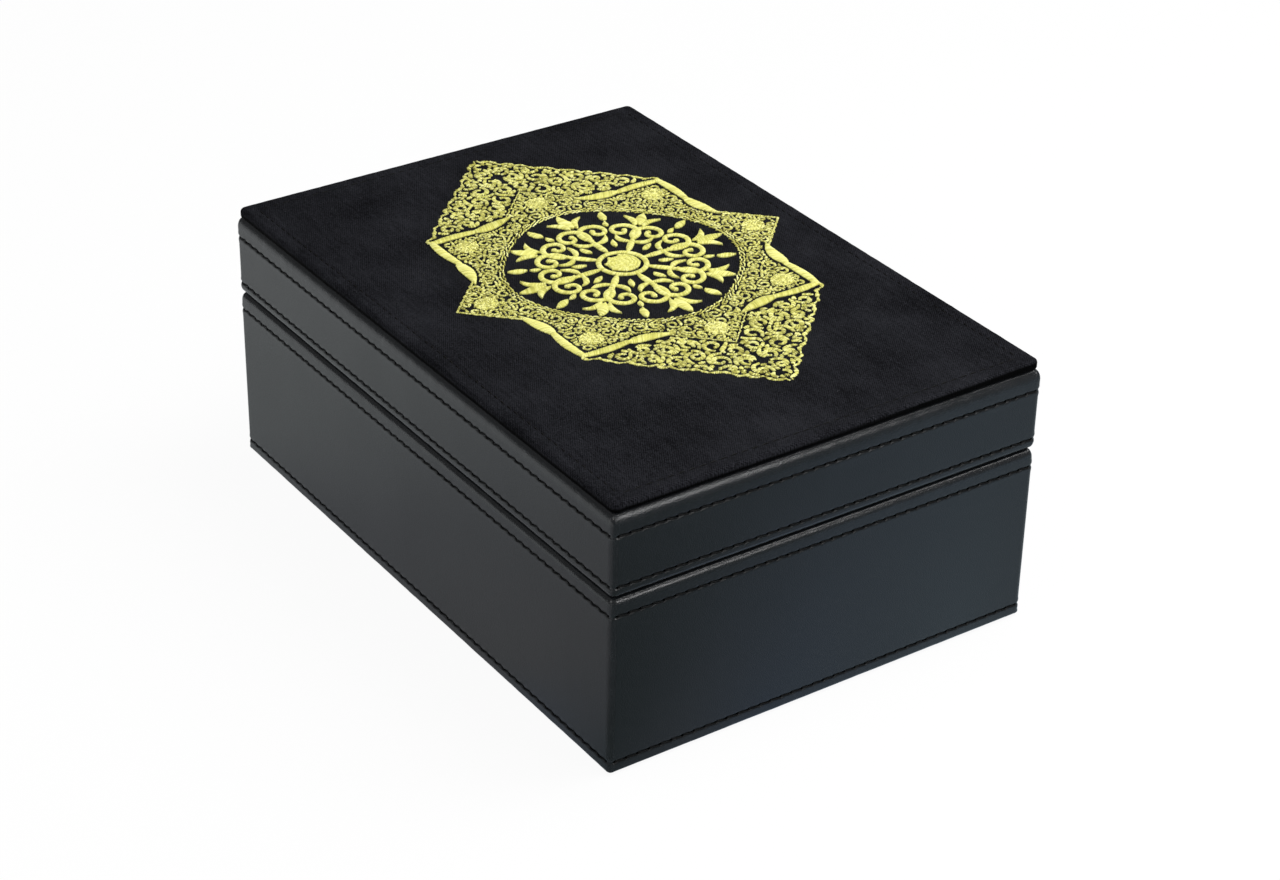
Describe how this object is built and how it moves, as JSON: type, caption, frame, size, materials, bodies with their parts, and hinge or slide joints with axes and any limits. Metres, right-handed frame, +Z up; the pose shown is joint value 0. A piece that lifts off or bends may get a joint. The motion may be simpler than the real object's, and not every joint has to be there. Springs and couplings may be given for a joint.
{
  "type": "book box",
  "caption": "Leather-wrapped rectangular box for a holy book, with a hinged lid, stitched edges and a cloth lid panel embroidered with a gold medallion.",
  "frame": {"origin": "centre of the underside", "axes": "+X across the box towards the hinges, +Y along it to the end away from the reader, +Z up"},
  "size_m": [0.19, 0.27, 0.113],
  "materials": {
    "black_leather": "semi-matte black leather with a fine grain",
    "board": "raw fibre board",
    "panel_cloth": "fine black woven cloth",
    "velvet": "short black velvet",
    "gold_thread": "shiny gold embroidery thread",
    "hinge_brass": "polished brass, slightly aged",
    "steel": "plated steel"
  },
  "bodies": {
    "base": {"base_floor_board": "board", "base_front_wall": "board", "base_hinge_wall": "board", "base_near_wall": "board", "base_far_wall": "board", "base_leather_wrap": "black_leather", "base_bottom_cover": "black_leather", "base_floor_pad": "velvet", "base_front_lining": "velvet", "base_hinge_lining": "velvet", "base_near_lining": "velvet", "base_far_lining": "velvet", "base_magnets": "steel", "near_hinge_base_leaf": "hinge_brass", "far_hinge_base_leaf": "hinge_brass", "near_hinge_pin": "steel", "far_hinge_pin": "steel", "hinge_base_screws": "steel"},
    "lid": {"lid_top_board": "board", "lid_front_wall": "board", "lid_hinge_wall": "board", "lid_near_wall": "board", "lid_far_wall": "board", "lid_leather_wrap": "black_leather", "lid_panel_board": "board", "lid_panel_cloth": "panel_cloth", "lid_top_lining": "velvet", "lid_front_lining": "velvet", "lid_hinge_lining": "velvet", "lid_near_lining": "velvet", "lid_far_lining": "velvet", "lid_magnets": "steel", "near_hinge_lid_leaf": "hinge_brass", "far_hinge_lid_leaf": "hinge_brass", "hinge_lid_screws": "steel", "medallion_lace": "gold_thread", "medallion_straps": "gold_thread", "medallion_rings": "gold_thread", "medallion_rosettes": "gold_thread", "medallion_centre": "gold_thread"}
  },
  "joints": [
    {"name": "lid_hinge", "type": "hinge", "parent": "base", "child": "lid", "pos_m": [0.0935, 0, 0.0745], "axis": [0, 1, 0], "range_deg": [0, 112]}
  ]
}
